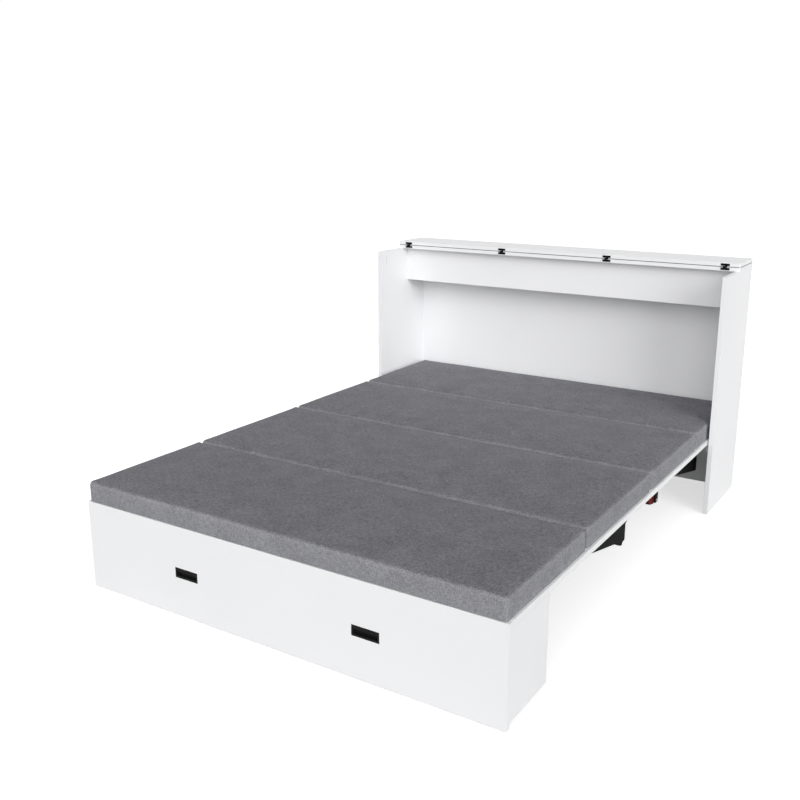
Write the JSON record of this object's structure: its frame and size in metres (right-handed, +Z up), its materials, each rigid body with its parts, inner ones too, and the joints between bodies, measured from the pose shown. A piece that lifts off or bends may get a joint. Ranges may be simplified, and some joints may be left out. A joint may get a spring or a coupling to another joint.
{
  "type": "cabinet bed",
  "caption": "Cabinet bed opened out: white chest with a folding lid, board deck, foot box with a drawer and flush pulls, grey sectioned mattress.",
  "frame": {"origin": "on the floor, under the middle of the opened bed's box", "axes": "+X across the bed to the sleeper's left when lying on the back with the head in the chest, +Y from the foot to the chest, +Z up"},
  "size_m": [1.605, 2.166, 1.0005],
  "materials": {
    "white_board": "satin white melamine",
    "black_steel": "black powder coat",
    "steel": "zinc plated",
    "grey_fabric": "woven grey cover",
    "red_plastic": "moulded red",
    "black_plastic": "moulded black",
    "wheel_rubber": "matt"
  },
  "bodies": {
    "bed_frame": {"back_ledger": "white_board", "back_panel": "white_board", "brace_plate_front_left": "black_steel", "brace_plate_front_right": "black_steel", "brace_plate_rear_left": "black_steel", "brace_plate_rear_right": "black_steel", "caster_axles": "steel", "caster_forks": "steel", "corner_post_left": "white_board", "corner_post_right": "white_board", "cross_rail_1": "black_steel", "cross_rail_2": "black_steel", "cross_rail_3": "black_steel", "deck_board_1": "white_board", "deck_board_2": "white_board", "deck_board_3": "white_board", "deck_board_4": "white_board", "deck_ledger_left": "white_board", "deck_ledger_right": "white_board", "deck_rail_left": "black_steel", "deck_rail_right": "black_steel", "foot_floor_board": "white_board", "foot_rear_panel": "white_board", "foot_side_left": "white_board", "foot_side_right": "white_board", "latch_bracket": "black_steel", "latch_pin": "steel", "lid_hinge_lower_leaves": "black_steel", "lid_hinge_pins": "steel", "lid_rear_leaf": "white_board", "mattress_pad_1": "grey_fabric", "mattress_pad_2": "grey_fabric", "mattress_pad_3": "grey_fabric", "mattress_pad_4": "grey_fabric", "runner_rail_left": "steel", "runner_rail_right": "steel", "side_panel_left": "white_board", "side_panel_right": "white_board", "top_stretcher": "white_board", "valance_rail": "white_board"},
    "lid_front": {"lid_front_leaf": "white_board", "lid_hinge_upper_leaves": "black_steel"},
    "drawer": {"foot_front_panel": "white_board", "flush_pull_left": "black_plastic", "flush_pull_right": "black_plastic", "drawer_side_left": "white_board", "drawer_side_right": "white_board", "drawer_back": "white_board", "drawer_bottom": "white_board", "runner_slide_left": "steel", "runner_slide_right": "steel"},
    "latch": {"latch_lever": "red_plastic"},
    "wheel_1": {"caster_wheel_1": "wheel_rubber"},
    "wheel_2": {"caster_wheel_2": "wheel_rubber"},
    "wheel_3": {"caster_wheel_3": "wheel_rubber"},
    "wheel_4": {"caster_wheel_4": "wheel_rubber"}
  },
  "joints": [
    {"name": "lid_fold", "type": "hinge", "parent": "bed_frame", "child": "lid_front", "pos_m": [0, 0.8748, 0.98375], "axis": [1, 0, 0], "range_deg": [0, 180]},
    {"name": "drawer_slide", "type": "slide", "parent": "bed_frame", "child": "drawer", "axis": [0, -1, 0], "range_m": [0, 0.17]},
    {"name": "latch_turn", "type": "hinge", "parent": "bed_frame", "child": "latch", "pos_m": [0.757, 0.099, 0.252], "axis": [1, 0, 0], "range_deg": [0, 35], "stiffness_Nm_per_rad": 0.3, "springref_deg": -20.05},
    {"name": "wheel_1_spin", "type": "hinge", "parent": "bed_frame", "child": "wheel_1", "pos_m": [-0.69, -1.021, 0.02], "axis": [1, 0, 0], "continuous": true},
    {"name": "wheel_2_spin", "type": "hinge", "parent": "bed_frame", "child": "wheel_2", "pos_m": [-0.69, -0.893, 0.02], "axis": [1, 0, 0], "continuous": true},
    {"name": "wheel_3_spin", "type": "hinge", "parent": "bed_frame", "child": "wheel_3", "pos_m": [0.69, -1.021, 0.02], "axis": [1, 0, 0], "continuous": true},
    {"name": "wheel_4_spin", "type": "hinge", "parent": "bed_frame", "child": "wheel_4", "pos_m": [0.69, -0.893, 0.02], "axis": [1, 0, 0], "continuous": true}
  ]
}
